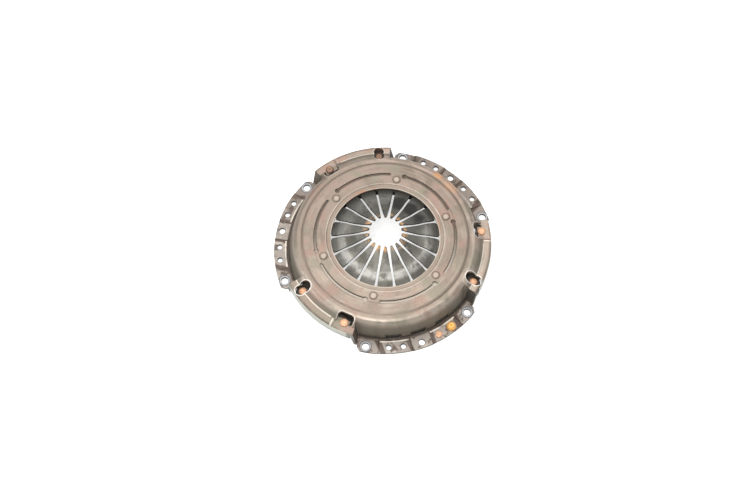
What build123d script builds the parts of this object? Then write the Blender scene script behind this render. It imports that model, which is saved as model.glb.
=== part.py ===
from build123d import *
import os
from math import cos, radians, sin, tan

# Clutch cover assembly with its pressure plate, as it is before it is bolted on.
# Millimetres. The axis of rotation is Z, and +Z points away from the flywheel.
# z = 0 is the face of the bolt flanges that meets the flywheel.
# The middle of the first flange lies on +X, and angles run anticlockwise from +X.

# Layout round the axis, in degrees
SEGMENTS = 3  # flanges, and raised ledges between them
SEGMENT_PITCH = 360 / SEGMENTS
LEDGE_AT = SEGMENT_PITCH / 2  # middle of the first raised ledge
SPACER_COUNT = 6
SPACER_FIRST = 30.0  # first spacer rivet
FINGER_COUNT = 18

# Pressed cover. Every radius follows the bolt circle through the widths between them
BOLT_CIRCLE = 264.8
SHEET = 3.6
COVER_TOP = 39.9  # height of the flat ring on top
LIP_WIDTH = 5.0  # coined ring round the bore
LIP_DROP = 1.0
SHOULDER_DROP = 1.4  # soft step outside the flat ring
SHOULDER_STEP_RUN = 3.0
SHOULDER_SLOPE = 7.0  # degrees, from the step to the rounded shoulder
SHOULDER_FILLET = 8.0
FOOT_FILLET = 3.0
FLANGE_MARGIN = 7.1  # from the bolt circle out to the edge of a flange
SKIRT_INSET = 11.1  # from the bolt circle in to the skirt's foot
SKIRT_RUN = 7.7  # from the skirt's foot in to the corner of its shoulder
SHOULDER_WIDTH = 20.3  # from the skirt's foot in to the flat ring
FLANGE_CORNER = 3.5

# Holes in the flanges
BOLT_HOLE = 9.0
BOLT_SEAT = 21.0  # diameter of the seat pressed round a bolt hole
BOLT_FROM_END_ANGLE = 4.5  # from a bolt hole to the end of its flange
END_PAD_HALF_ANGLE = 6.4  # from a bolt hole to where its pad begins
DOWEL_HOLE = 8.0
BALANCE_HOLE = 6.8
BALANCE_ANGLES = (10.0, 17.8)
CENTRE_PAD_ANGLE = 5.2  # half angle of the pad at the dowel hole
PAD_RISE = 1.4  # the balance pads stand this much higher
PAD_SLOPE = 55.0  # draft of the sloped bands between the pads
VENT_LENGTH = 20.0
VENT_HEIGHT = 4.6
VENT_ANGLES = (-15.0, 0.0, 16.0)
VENT_ABOVE_PAD = 0.5

# Raised ledges, which carry the straps
STRAP_INSET = 12.0  # from the bolt circle in to the strap rivets
STRAP_HALF_ANGLE = 16.1
LEDGE_DROP = 8.5  # from the flat ring down to a ledge
LEDGE_SHOULDER_INSET = 8.1  # from the strap rivets in to the corner of the dome
LEDGE_SHOULDER_FILLET = 14.0
LEDGE_CREASE = 1.4  # from the strap rivets out to the crease at the dome's foot
LEDGE_FILLET = 2.0
LEDGE_MARGIN = 11.6  # from the strap rivets out to the edge of a ledge
LIP_FILLET = 4.2
LIP_HEIGHT = 5.6
END_WALL_MARGIN_ANGLE = 7.7  # from a strap rivet to the middle of the end wall
END_WALL_GAP_ANGLE = 1.7  # from an end wall to the cut end of a flange
END_WALL_RUN = 5.0  # how far an end wall slopes outwards
RIVET_PAD_DROP = 2.0
RIVET_PAD_ANGLE = 6.1  # from a strap rivet to where its pad begins
KEYHOLE_INNER_INSET = 3.8
KEYHOLE_INNER = 13.8
KEYHOLE_OUTER_MARGIN = 3.4
KEYHOLE_OUTER = 12.6
WINDOW_GAP_IN = 5.5  # between the rivet's tongue and the dome
WINDOW_WIDTH = 21.0
WINDOW_CORNER = 5.0
TONGUE_INSET = 4.6
TONGUE_HALF = 6.4

# Pivot grooves, pressed into the flat ring from above
PIVOT_INSET = 14.3  # from the edge of the flat ring in to the pivot grooves
GROOVE_WIDTH = 3.6
GROOVE_DEPTH = 2.2
GROOVE_DRAFT = 0.5
GROOVE_GAP_ANGLE = 6.1  # from a spacer rivet to the end of a groove
DIMPLE = 6.4
DIMPLE_DEPTH = 2.6
RIDGE_WIDTH = 7.0
RIDGE_HEIGHT = 3.9

# Diaphragm spring
SPRING_THICK = 2.5
SPRING_OVERHANG = 2.0  # past the rim of the plate that it presses
CONE_SLOPE = 10.8  # degrees
FINGER_BEND_INSET = 15.0  # from the spacer rivets in to the root of the fingers
FINGER_BEND = (11.5, 41.6)  # from that root inwards, and height
FINGER_LOW = (22.5, 43.6)
TIP_R = 18.2
TIP_FLAT = 3.8
TIP_BEND_HEIGHT = 52.8
TIP_HEIGHT = 53.6
FINGER_FILLET = 25.0
TIP_FILLET = 8.0
SLOT_WIDTH = 2.0
SLOT_FLARE_INSET = 15.0
SLOT_FLARE_WIDTH = 4.6
SLOT_WINDOW = 10.6
SLOT_WINDOW_INSET = 14.0
SLOT_WINDOW_CORNER = 3.0

# Pivot wire ring and spacer rivets
WIRE = 3.5
SPACER_INSET = 6.7  # from the pivot grooves in to the spacer rivets
SPACER_SHANK = 7.0
SPACER_HEAD = 9.0
SPACER_HEAD_HEIGHT = 1.5
SPACER_BODY = 8.6
SPACER_FOOT = 18.0
SPACER_FOOT_HEIGHT = 2.6
BORE_INSET = 13.0  # from the spacer rivets in to the cover's bore

# Pressure plate
PLATE_FACE = 4.5  # height of the friction face with the cover not bolted on, and its travel
PLATE_CLEARANCE = 7.3  # from the skirt's foot in to the plate's edge
PLATE_WIDTH = 38.5  # from the plate's edge in to its bore
PLATE_EDGE = 4.5  # straight height of the outer edge
PLATE_SHOULDER_RUN = 3.5
PLATE_SHOULDER_HEIGHT = 10.5
PLATE_THICK = 12.5
RIM_LEVER = 14.3  # from the pivot grooves out to where the spring presses
RIM_WIDTH = 5.6
RIM_GAPS = 18
RIM_GAP_WIDTH = 9.0
RIM_GAP_DEPTH = 5.0
PLATE_CHAMFER = 0.8
LUG_RADIUS = 8.8
LUG_ROOT = 3.0  # from the rim out to the root of a lug
LUG_ROOT_HALF = 9.6
LUG_UNDERCUT = 4.5

# Drive straps, three leaves in each pack
LEAVES = 3
LEAF_THICK = 0.8
LEAF_GAP = 0.1
LEAF_WIDTH = 15.0
LEAF_FLAT = 10.5
LEAF_BEND = 60.0
STRAP_DROP = 3.0

# Strap rivets
RIVET_SHANK = 6.4
RIVET_HEAD = 10.2
RIVET_HEAD_HEIGHT = 2.5
RIVET_FOOT_HEIGHT = 2.0
DOME_LAND = 0.35  # share of a head's height that is straight
DOME_HIP = 0.75
DOME_HIP_R = 0.88  # share of the radius at the hip
DOME_FLAT_R = 0.6

# Balance rivets
LOW_RIVET_HEAD = 8.6
LOW_RIVET_HEIGHT = 2.2
TALL_RIVET_HEAD = 11.4
TALL_RIVET_HEIGHT = 6.0
RIVET_DIMPLE = 3.0
RIVET_DIMPLE_BOTTOM = 1.5
RIVET_DIMPLE_DEPTH = 1.2
BALANCE_FOOT_EDGE = 0.8
BALANCE_FOOT_HEIGHT = 1.1  # within the recess under a balance pad

# Clearances
SEAT_GAP = 0.03  # parts that bear on each other
SHANK_GAP = 0.05  # radial, rivets in their holes
WINDOW_GAP = 0.8  # between a spacer rivet and the end of its window

# Reach of the cuts and laps that shape the cover's sections
OVERCUT = 2.0  # how far a cut runs past what it cuts
CUT_REACH = 60.0  # width of the blocks that trim the sections
SECTION_LAP = 1.0  # the sections lap over the edge of the flat ring's piece
WALL_SPREAD = 4.0  # degrees that the sections run past the end walls
PAD_OVERRUN = 3.0  # the balance pads' draft runs past the flange's edge
END_NOTCH = 0.5
PAD_MARGIN = 2.0  # degrees of ledge between the rivet pad and the end wall

# Radii and angles that follow
BOLT_R = BOLT_CIRCLE / 2
FLANGE_R = BOLT_R + FLANGE_MARGIN
SKIRT_FOOT_R = BOLT_R - SKIRT_INSET
SHOULDER_R = SKIRT_FOOT_R - SKIRT_RUN
FLAT_RING_R = SKIRT_FOOT_R - SHOULDER_WIDTH
STEP_FOOT_R = FLAT_RING_R + SHOULDER_STEP_RUN
SECTION_START_R = STEP_FOOT_R + SECTION_LAP
PIVOT_R = FLAT_RING_R - PIVOT_INSET
SPACER_R = PIVOT_R - SPACER_INSET
BORE_R = SPACER_R - BORE_INSET
STRAP_R = BOLT_R - STRAP_INSET
LEDGE_SHOULDER_R = STRAP_R - LEDGE_SHOULDER_INSET
LEDGE_INNER_R = STRAP_R + LEDGE_CREASE
LEDGE_OUTER_R = STRAP_R + LEDGE_MARGIN
KEYHOLE_INNER_R = STRAP_R - KEYHOLE_INNER_INSET
KEYHOLE_OUTER_R = STRAP_R + KEYHOLE_OUTER_MARGIN
TONGUE_INNER_R = STRAP_R - TONGUE_INSET
WINDOW_INNER_R = TONGUE_INNER_R - WINDOW_GAP_IN
HALF_CHORD = STRAP_R * sin(radians(STRAP_HALF_ANGLE))
CHORD_R = STRAP_R * cos(radians(STRAP_HALF_ANGLE))
RIVET_PAD_START = STRAP_HALF_ANGLE - RIVET_PAD_ANGLE
END_WALL_ANGLE = STRAP_HALF_ANGLE + END_WALL_MARGIN_ANGLE
FLANGE_HALF_ANGLE = LEDGE_AT - END_WALL_ANGLE - END_WALL_GAP_ANGLE
BOLT_ANGLE = FLANGE_HALF_ANGLE - BOLT_FROM_END_ANGLE
END_PAD_ANGLE = BOLT_ANGLE - END_PAD_HALF_ANGLE
RIM_R = PIVOT_R + RIM_LEVER
SPRING_RIM_R = RIM_R + SPRING_OVERHANG
FINGER_BEND_R = SPACER_R - FINGER_BEND_INSET
SLOT_FLARE_R = FINGER_BEND_R - SLOT_FLARE_INSET
SLOT_WINDOW_INNER_R = SPACER_R - SLOT_WINDOW_INSET
SLOT_WINDOW_OUTER_R = SPACER_R + SPACER_BODY / 2 + WINDOW_GAP
PLATE_R = SKIRT_FOOT_R - PLATE_CLEARANCE
PLATE_BORE_R = PLATE_R - PLATE_WIDTH
PLATE_SHOULDER_R = PLATE_R - PLATE_SHOULDER_RUN
LUG_ROOT_R = RIM_R + LUG_ROOT

# Heights that follow
UNDER_TOP = COVER_TOP - SHEET
SKIRT_TOP = COVER_TOP - SHOULDER_DROP
LEDGE_TOP = COVER_TOP - LEDGE_DROP
CONE_RISE = tan(radians(CONE_SLOPE))
CONE_LENGTHEN = 1 / cos(radians(CONE_SLOPE))
RIDGE_ROUND = (RIDGE_HEIGHT**2 + (RIDGE_WIDTH / 2) ** 2) / (2 * RIDGE_HEIGHT)
RIDGE_CENTRE_Z = UNDER_TOP - RIDGE_HEIGHT + RIDGE_ROUND
PIVOT_TOP = RIDGE_CENTRE_Z - (RIDGE_ROUND + SEAT_GAP) * CONE_LENGTHEN
SPRING_HEIGHT = SPRING_THICK * CONE_LENGTHEN
WIRE_R = WIRE / 2
WIRE_Z = PIVOT_TOP - SPRING_HEIGHT - (WIRE_R + SEAT_GAP) * CONE_LENGTHEN
SPACER_FOOT_TOP = WIRE_Z - WIRE_R - SEAT_GAP
RIM_ROUND = RIM_WIDTH / 2
RIM_CENTRE_Z = (
    PIVOT_TOP
    - (RIM_R - PIVOT_R) * CONE_RISE
    - SPRING_HEIGHT
    - (RIM_ROUND + SEAT_GAP) * CONE_LENGTHEN
)
RIM_TOP = RIM_CENTRE_Z + RIM_ROUND
PAD_TOP = LEDGE_TOP - RIVET_PAD_DROP
LEAF_PITCH = LEAF_THICK + LEAF_GAP
PACK_THICK = (LEAVES - 1) * LEAF_PITCH + LEAF_THICK
PACK_TOP = PAD_TOP - SHEET
LUG_TOP = PACK_TOP - PACK_THICK - STRAP_DROP


def radial_plane(angle):
    """Upright plane through the axis: x is outwards at this angle, y is up."""
    out = (cos(radians(angle)), sin(radians(angle)), 0)
    return Plane(origin=(0, 0, 0), x_dir=out, z_dir=(out[1], -out[0], 0))


def facing_plane(angle, distance):
    """Upright plane that faces outwards at this angle: x is anticlockwise, y is up."""
    out = (cos(radians(angle)), sin(radians(angle)), 0)
    origin = (out[0] * distance, out[1] * distance, 0)
    return Plane(origin=origin, x_dir=(-out[1], out[0], 0), z_dir=out)


def polar(radius, angle):
    return (radius * cos(radians(angle)), radius * sin(radians(angle)))


def ring_sector(inner, outer, *angles):
    """Face between two radii and two angles, to add to a sketch."""
    start, end = sorted(angles)
    with BuildSketch() as sector:
        with BuildLine():
            Line(polar(inner, start), polar(outer, start))
            CenterArc((0, 0), outer, start, end - start)
            Line(polar(outer, end), polar(inner, end))
            CenterArc((0, 0), inner, end, start - end)
        make_face()
    return sector.sketch


def shoulder_height(radius):
    """Top of the cover on the slope between the soft step and the shoulder."""
    return SKIRT_TOP - (radius - STEP_FOOT_R) * tan(radians(SHOULDER_SLOPE))


def save(part, name):
    part.label = name
    export_step(part, f"parts/{name}.step")


os.makedirs("parts", exist_ok=True)

# Cover: a pivot groove on top, and the ridge under it that the spring rocks on
groove_arc = 360 / SPACER_COUNT - 2 * GROOVE_GAP_ANGLE
with BuildPart() as groove:
    with BuildSketch(radial_plane(SPACER_FIRST + GROOVE_GAP_ANGLE)):
        half_top = GROOVE_WIDTH / 2
        half_low = half_top - GROOVE_DRAFT
        Polygon(
            (PIVOT_R - half_top, COVER_TOP + GROOVE_DRAFT),
            (PIVOT_R - half_top, COVER_TOP),
            (PIVOT_R - half_low, COVER_TOP - GROOVE_DEPTH),
            (PIVOT_R + half_low, COVER_TOP - GROOVE_DEPTH),
            (PIVOT_R + half_top, COVER_TOP),
            (PIVOT_R + half_top, COVER_TOP + GROOVE_DRAFT),
            align=None,
        )
    revolve(axis=Axis.Z, revolution_arc=groove_arc)
    dimple_at = SPACER_FIRST + GROOVE_GAP_ANGLE + groove_arc
    with BuildSketch(Plane.XY.offset(COVER_TOP + GROOVE_DRAFT)):
        with Locations(polar(PIVOT_R, dimple_at)):
            Circle(DIMPLE / 2)
    extrude(amount=-DIMPLE_DEPTH - GROOVE_DRAFT)
    with BuildSketch(Plane.XY.offset(COVER_TOP + GROOVE_DRAFT)):
        with Locations(polar(PIVOT_R, SPACER_FIRST + GROOVE_GAP_ANGLE)):
            Circle(half_low)
    extrude(amount=-GROOVE_DEPTH - GROOVE_DRAFT)

with BuildPart() as ridge:
    with BuildSketch(radial_plane(SPACER_FIRST + GROOVE_GAP_ANGLE)):
        with BuildLine():
            low_z = UNDER_TOP - RIDGE_HEIGHT
            ridge_side = RIDGE_WIDTH / 2
            Line((PIVOT_R - ridge_side, UNDER_TOP), (PIVOT_R + ridge_side, UNDER_TOP))
            ThreePointArc(
                (PIVOT_R - ridge_side, UNDER_TOP),
                (PIVOT_R, low_z),
                (PIVOT_R + ridge_side, UNDER_TOP),
            )
        make_face()
    revolve(axis=Axis.Z, revolution_arc=groove_arc)

# Cover: flat ring with its coined lip
with BuildPart() as crown:
    with BuildSketch(Plane.XZ):
        with BuildLine():
            lip_r = BORE_R + LIP_WIDTH
            end_r = SECTION_START_R + SECTION_LAP
            FilletPolyline(
                (lip_r + LIP_DROP, COVER_TOP),
                (FLAT_RING_R, COVER_TOP),
                (STEP_FOOT_R, SKIRT_TOP),
                (end_r, shoulder_height(end_r)),
                radius=SHOULDER_STEP_RUN,
            )
            Polyline(
                (end_r, shoulder_height(end_r)),
                (end_r, shoulder_height(end_r) - SHEET),
                (STEP_FOOT_R, SKIRT_TOP - SHEET),
                (FLAT_RING_R, UNDER_TOP),
                (BORE_R, UNDER_TOP),
                (BORE_R, COVER_TOP - LIP_DROP),
                (lip_r, COVER_TOP - LIP_DROP),
                (lip_r + LIP_DROP, COVER_TOP),
            )
        make_face()
    revolve(axis=Axis.Z)
    with PolarLocations(0, SPACER_COUNT):
        add(ridge.part)
    with PolarLocations(0, SPACER_COUNT):
        add(groove.part, mode=Mode.SUBTRACT)
    with BuildSketch(Plane.XY.offset(UNDER_TOP - SHEET)):
        with PolarLocations(SPACER_R, SPACER_COUNT, start_angle=SPACER_FIRST):
            Circle(SPACER_SHANK / 2 + SHANK_GAP)
    extrude(amount=3 * SHEET, mode=Mode.SUBTRACT)


def wall_block(angle, slope, side, shift=0.0):
    """Sketch of all that lies to one side of a sloped end wall, seen from outside."""
    low = -OVERCUT
    high = COVER_TOP + OVERCUT
    lean = END_WALL_RUN / (LEDGE_TOP - SHEET)
    foot = slope * (END_WALL_RUN / 2 + lean * (SHEET - low)) + shift
    head = slope * (END_WALL_RUN / 2 + lean * (SHEET - high)) + shift
    with BuildSketch(facing_plane(angle, SECTION_START_R / 2)) as block:
        Polygon(
            (foot, low),
            (head, high),
            (head + side * CUT_REACH, high),
            (foot + side * CUT_REACH, low),
            align=None,
        )
    return block.sketch


# Cover: one flange with the skirt above it
with BuildPart() as flange_section:
    section_half = LEDGE_AT - END_WALL_ANGLE + WALL_SPREAD
    with BuildSketch(radial_plane(-section_half)):
        with BuildLine():
            outer_line = FilletPolyline(
                (SECTION_START_R, shoulder_height(SECTION_START_R)),
                (SHOULDER_R, shoulder_height(SHOULDER_R)),
                (SKIRT_FOOT_R, SHEET),
                (FLANGE_R + OVERCUT, SHEET),
                radius=(SHOULDER_FILLET, FOOT_FILLET),
            )
            offset(outer_line, amount=SHEET, side=Side.RIGHT)
        make_face()
    revolve(axis=Axis.Z, revolution_arc=2 * section_half)
    # Balance pads, raised between the pads that meet the flywheel
    for side in (-1, 1):
        near, far = side * CENTRE_PAD_ANGLE, side * END_PAD_ANGLE
        with BuildSketch(Plane.XY.offset(SHEET)):
            add(ring_sector(SKIRT_FOOT_R, FLANGE_R + PAD_OVERRUN, near, far))
        extrude(amount=PAD_RISE, taper=PAD_SLOPE)
        with BuildSketch(Plane.XY):
            add(ring_sector(SKIRT_FOOT_R, FLANGE_R + PAD_OVERRUN, near, far))
        extrude(amount=PAD_RISE, taper=PAD_SLOPE, mode=Mode.SUBTRACT)
    # Outer edge, and the straight-cut ends with their corners
    with BuildSketch(Plane.XY):
        Circle(FLANGE_R + PAD_OVERRUN + OVERCUT)
        Circle(FLANGE_R, mode=Mode.SUBTRACT)
    extrude(amount=SHEET + 2 * PAD_RISE, mode=Mode.SUBTRACT)
    for side in (-1, 1):
        with BuildSketch(Plane.XY):
            add(
                ring_sector(
                    LEDGE_OUTER_R - END_NOTCH,
                    FLANGE_R + OVERCUT,
                    side * FLANGE_HALF_ANGLE,
                    side * (section_half + WALL_SPREAD),
                )
            )
        extrude(amount=SHEET + PAD_RISE, mode=Mode.SUBTRACT)
        with BuildSketch(Plane.XY):
            corner = polar(FLANGE_R, side * FLANGE_HALF_ANGLE)
            with Locations(Location(corner, (0, 0, side * FLANGE_HALF_ANGLE + 45))):
                Rectangle(2 * FLANGE_CORNER, 2 * FLANGE_CORNER)
        extrude(amount=SHEET, mode=Mode.SUBTRACT)
    # Clearance pressed into the skirt's foot for the bolt heads
    with BuildSketch(Plane.XY.offset(SHEET)):
        with Locations(*(polar(BOLT_R, side * BOLT_ANGLE) for side in (-1, 1))):
            Circle(BOLT_SEAT / 2)
    extrude(amount=BOLT_SEAT, mode=Mode.SUBTRACT)
    # Bolt, dowel and balance holes
    with BuildSketch(Plane.XY):
        with Locations(*(polar(BOLT_R, side * BOLT_ANGLE) for side in (-1, 1))):
            Circle(BOLT_HOLE / 2)
        with Locations(polar(BOLT_R, 0)):
            Circle(DOWEL_HOLE / 2)
        for angle in BALANCE_ANGLES:
            with Locations(polar(BOLT_R, angle), polar(BOLT_R, -angle)):
                Circle(BALANCE_HOLE / 2)
    extrude(amount=SHEET + 2 * PAD_RISE, mode=Mode.SUBTRACT)
    # Vents through the skirt, just above the balance pads
    vent_z = SHEET + PAD_RISE + VENT_ABOVE_PAD + VENT_HEIGHT / 2
    for angle in VENT_ANGLES:
        with BuildSketch(facing_plane(angle, SHOULDER_R - SHEET)):
            with Locations((0, vent_z)):
                SlotOverall(VENT_LENGTH, VENT_HEIGHT)
        extrude(amount=SKIRT_FOOT_R - SHOULDER_R + 2 * SHEET, mode=Mode.SUBTRACT)
    # The ends stop at the sloped end walls of the ledges
    for side in (-1, 1):
        beyond = wall_block(side * (LEDGE_AT - END_WALL_ANGLE), -side, side)
        extrude(beyond, amount=FLANGE_R, mode=Mode.SUBTRACT)

# Cover: the sloped walls that close both ends of a ledge
with BuildPart() as end_walls:
    with BuildSketch(radial_plane(END_WALL_ANGLE - 2 * WALL_SPREAD)):
        Polygon(
            (SECTION_START_R, shoulder_height(SECTION_START_R) - SHEET / 2),
            (SHOULDER_R - SHEET, shoulder_height(SHOULDER_R) - 2 * SHEET),
            (SKIRT_FOOT_R - SHEET / 2, 0),
            (LEDGE_OUTER_R, 0),
            (LEDGE_OUTER_R, LEDGE_TOP - LIP_FILLET),
            (LEDGE_OUTER_R - LIP_FILLET, LEDGE_TOP - SHEET / 2),
            (LEDGE_INNER_R, LEDGE_TOP - SHEET / 2),
            (LEDGE_SHOULDER_R, shoulder_height(LEDGE_SHOULDER_R) - SHEET / 2),
            align=None,
        )
    revolve(axis=Axis.Z, revolution_arc=3 * WALL_SPREAD)
    for side, shift in ((1, 0), (-1, -SHEET)):
        block = wall_block(END_WALL_ANGLE, 1, side, shift)
        extrude(block, amount=FLANGE_R, mode=Mode.SUBTRACT)
    mirror(about=Plane.XZ)

# Cover: one raised ledge with its rivet pad, window and keyhole
with BuildPart() as ledge_section:
    ledge_half = END_WALL_ANGLE + WALL_SPREAD
    with BuildSketch(radial_plane(-ledge_half)):
        with BuildLine():
            outer_line = FilletPolyline(
                (SECTION_START_R, shoulder_height(SECTION_START_R)),
                (LEDGE_SHOULDER_R, shoulder_height(LEDGE_SHOULDER_R)),
                (LEDGE_INNER_R, LEDGE_TOP),
                (LEDGE_OUTER_R, LEDGE_TOP),
                (LEDGE_OUTER_R, LEDGE_TOP - LIP_HEIGHT),
                radius=(LEDGE_SHOULDER_FILLET, LEDGE_FILLET, LIP_FILLET),
            )
            offset(outer_line, amount=SHEET, side=Side.RIGHT)
        make_face()
    revolve(axis=Axis.Z, revolution_arc=2 * ledge_half)
    for side in (-1, 1):
        beyond = wall_block(side * END_WALL_ANGLE, side, side)
        extrude(beyond, amount=FLANGE_R, mode=Mode.SUBTRACT)
    add(end_walls.part)
    # The rivet pad lies a little lower than the rest of the ledge
    with BuildSketch(Plane.XY.offset(PAD_TOP)):
        add(ring_sector(LEDGE_INNER_R, LEDGE_OUTER_R + OVERCUT, RIVET_PAD_START, ledge_half))
    extrude(amount=RIVET_PAD_DROP + OVERCUT, mode=Mode.SUBTRACT)
    pad_end = END_WALL_ANGLE - PAD_MARGIN
    with BuildSketch(Plane.XY.offset(PACK_TOP)):
        add(ring_sector(TONGUE_INNER_R, LEDGE_OUTER_R - LIP_FILLET, RIVET_PAD_START, pad_end))
    extrude(amount=SHEET)
    # Window beside the rivet, down through the dome
    window_at = Location(polar(WINDOW_INNER_R, STRAP_HALF_ANGLE), (0, 0, STRAP_HALF_ANGLE))
    window_depth = LEDGE_INNER_R - WINDOW_INNER_R
    with BuildSketch(Plane.XY.offset(PAD_TOP)):
        with Locations(window_at):
            RectangleRounded(
                2 * window_depth, WINDOW_WIDTH, WINDOW_CORNER, align=(Align.MIN, Align.CENTER)
            )
        add(
            ring_sector(LEDGE_INNER_R, LEDGE_OUTER_R + CUT_REACH, 0, ledge_half),
            mode=Mode.SUBTRACT,
        )
    extrude(amount=COVER_TOP - PAD_TOP, mode=Mode.SUBTRACT)
    with BuildSketch(Plane.XY.offset(SHEET)):
        with Locations(window_at):
            RectangleRounded(
                window_depth, WINDOW_WIDTH, WINDOW_CORNER, align=(Align.MIN, Align.CENTER)
            )
        with Locations(Location(polar(STRAP_R, STRAP_HALF_ANGLE), (0, 0, STRAP_HALF_ANGLE))):
            tongue_reach = STRAP_R - TONGUE_INNER_R
            with Locations((0, -WINDOW_WIDTH / 2)):
                Rectangle(
                    2 * tongue_reach,
                    WINDOW_WIDTH + 2 * TONGUE_HALF,
                    mode=Mode.SUBTRACT,
                )
    extrude(amount=COVER_TOP, mode=Mode.SUBTRACT)
    # Keyhole over the rivet at the plate's end of the strap, and the rivet hole
    with BuildSketch(Plane.XY.offset(SHEET)):
        with Locations(polar(KEYHOLE_INNER_R, -STRAP_HALF_ANGLE)):
            Circle(KEYHOLE_INNER / 2)
        with Locations(polar(KEYHOLE_OUTER_R, -STRAP_HALF_ANGLE)):
            Circle(KEYHOLE_OUTER / 2)
        with Locations(polar(STRAP_R, STRAP_HALF_ANGLE)):
            Circle(RIVET_SHANK / 2 + SHANK_GAP)
    extrude(amount=COVER_TOP, mode=Mode.SUBTRACT)

# Cover: all of it in one pressing
with BuildPart() as cover:
    add(crown.part)
    for number in range(SEGMENTS):
        add(flange_section.part.rotate(Axis.Z, number * SEGMENT_PITCH))
    for number in range(SEGMENTS):
        add(ledge_section.part.rotate(Axis.Z, LEDGE_AT + number * SEGMENT_PITCH))
save(cover.part, "cover")

# Diaphragm spring: a cone whose inner part is slotted into fingers
bend_run, bend_height = FINGER_BEND
low_run, low_height = FINGER_LOW
with BuildPart() as spring:
    with BuildSketch(Plane.XZ):
        with BuildLine():
            spring_line = FilletPolyline(
                (SPRING_RIM_R, PIVOT_TOP - (SPRING_RIM_R - PIVOT_R) * CONE_RISE),
                (FINGER_BEND_R, PIVOT_TOP + (PIVOT_R - FINGER_BEND_R) * CONE_RISE),
                (FINGER_BEND_R - bend_run, bend_height),
                (FINGER_BEND_R - low_run, low_height),
                (TIP_R + TIP_FLAT, TIP_BEND_HEIGHT),
                (TIP_R, TIP_HEIGHT),
                radius=(FINGER_FILLET, FINGER_FILLET, FINGER_FILLET, TIP_FILLET),
            )
            offset(spring_line, amount=SPRING_THICK, side=Side.LEFT)
        make_face()
    revolve(axis=Axis.Z)
    with BuildSketch(Plane.XY):
        with PolarLocations(0, FINGER_COUNT, start_angle=SPACER_FIRST):
            Polygon(
                (0, -SLOT_WIDTH / 2),
                (SLOT_FLARE_R, -SLOT_WIDTH / 2),
                (SLOT_WINDOW_INNER_R + SLOT_WINDOW_CORNER, -SLOT_FLARE_WIDTH / 2),
                (SLOT_WINDOW_INNER_R + SLOT_WINDOW_CORNER, SLOT_FLARE_WIDTH / 2),
                (SLOT_FLARE_R, SLOT_WIDTH / 2),
                (0, SLOT_WIDTH / 2),
                align=None,
            )
            window_length = SLOT_WINDOW_OUTER_R - SLOT_WINDOW_INNER_R
            with Locations((SLOT_WINDOW_INNER_R + window_length / 2, 0)):
                RectangleRounded(window_length, SLOT_WINDOW, SLOT_WINDOW_CORNER)
    extrude(amount=2 * COVER_TOP, mode=Mode.SUBTRACT)
save(spring.part, "diaphragm_spring")

# Pivot ring: round wire that the spring rocks on from below
with BuildPart() as pivot_ring:
    with BuildSketch(Plane.XZ):
        with Locations((PIVOT_R, WIRE_Z)):
            Circle(WIRE_R)
    revolve(axis=Axis.Z)
save(pivot_ring.part, "pivot_ring")


def turned(points):
    """Solid turned about Z from the outline of its right half, heights and radii."""
    with BuildPart() as body:
        with BuildSketch(Plane.XZ):
            Polygon((0, points[0][1]), *points, (0, points[-1][1]), align=None)
        revolve(axis=Axis.Z)
    return body.part


def domed_head(radius, height, base):
    """Outline of a rivet head above its seat, from the rim to the flat top."""
    return [
        (radius, base),
        (radius, base + height * DOME_LAND),
        (radius * DOME_HIP_R, base + height * DOME_HIP),
        (radius * DOME_FLAT_R, base + height),
    ]


# Spacer rivets: each holds the spring and the pivot ring up under the cover
spacer = turned(
    [
        (SPACER_FOOT / 2, SPACER_FOOT_TOP - SPACER_FOOT_HEIGHT),
        (SPACER_FOOT / 2, SPACER_FOOT_TOP),
        (SPACER_BODY / 2, SPACER_FOOT_TOP),
        (SPACER_BODY / 2, UNDER_TOP),
        (SPACER_SHANK / 2, UNDER_TOP),
        (SPACER_SHANK / 2, COVER_TOP),
        *domed_head(SPACER_HEAD / 2, SPACER_HEAD_HEIGHT, COVER_TOP),
    ]
)
for number in range(SPACER_COUNT):
    x, y = polar(SPACER_R, SPACER_FIRST + number * 360 / SPACER_COUNT)
    save(Pos(x, y, 0) * spacer, f"spacer_rivet_{number + 1}")

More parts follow.
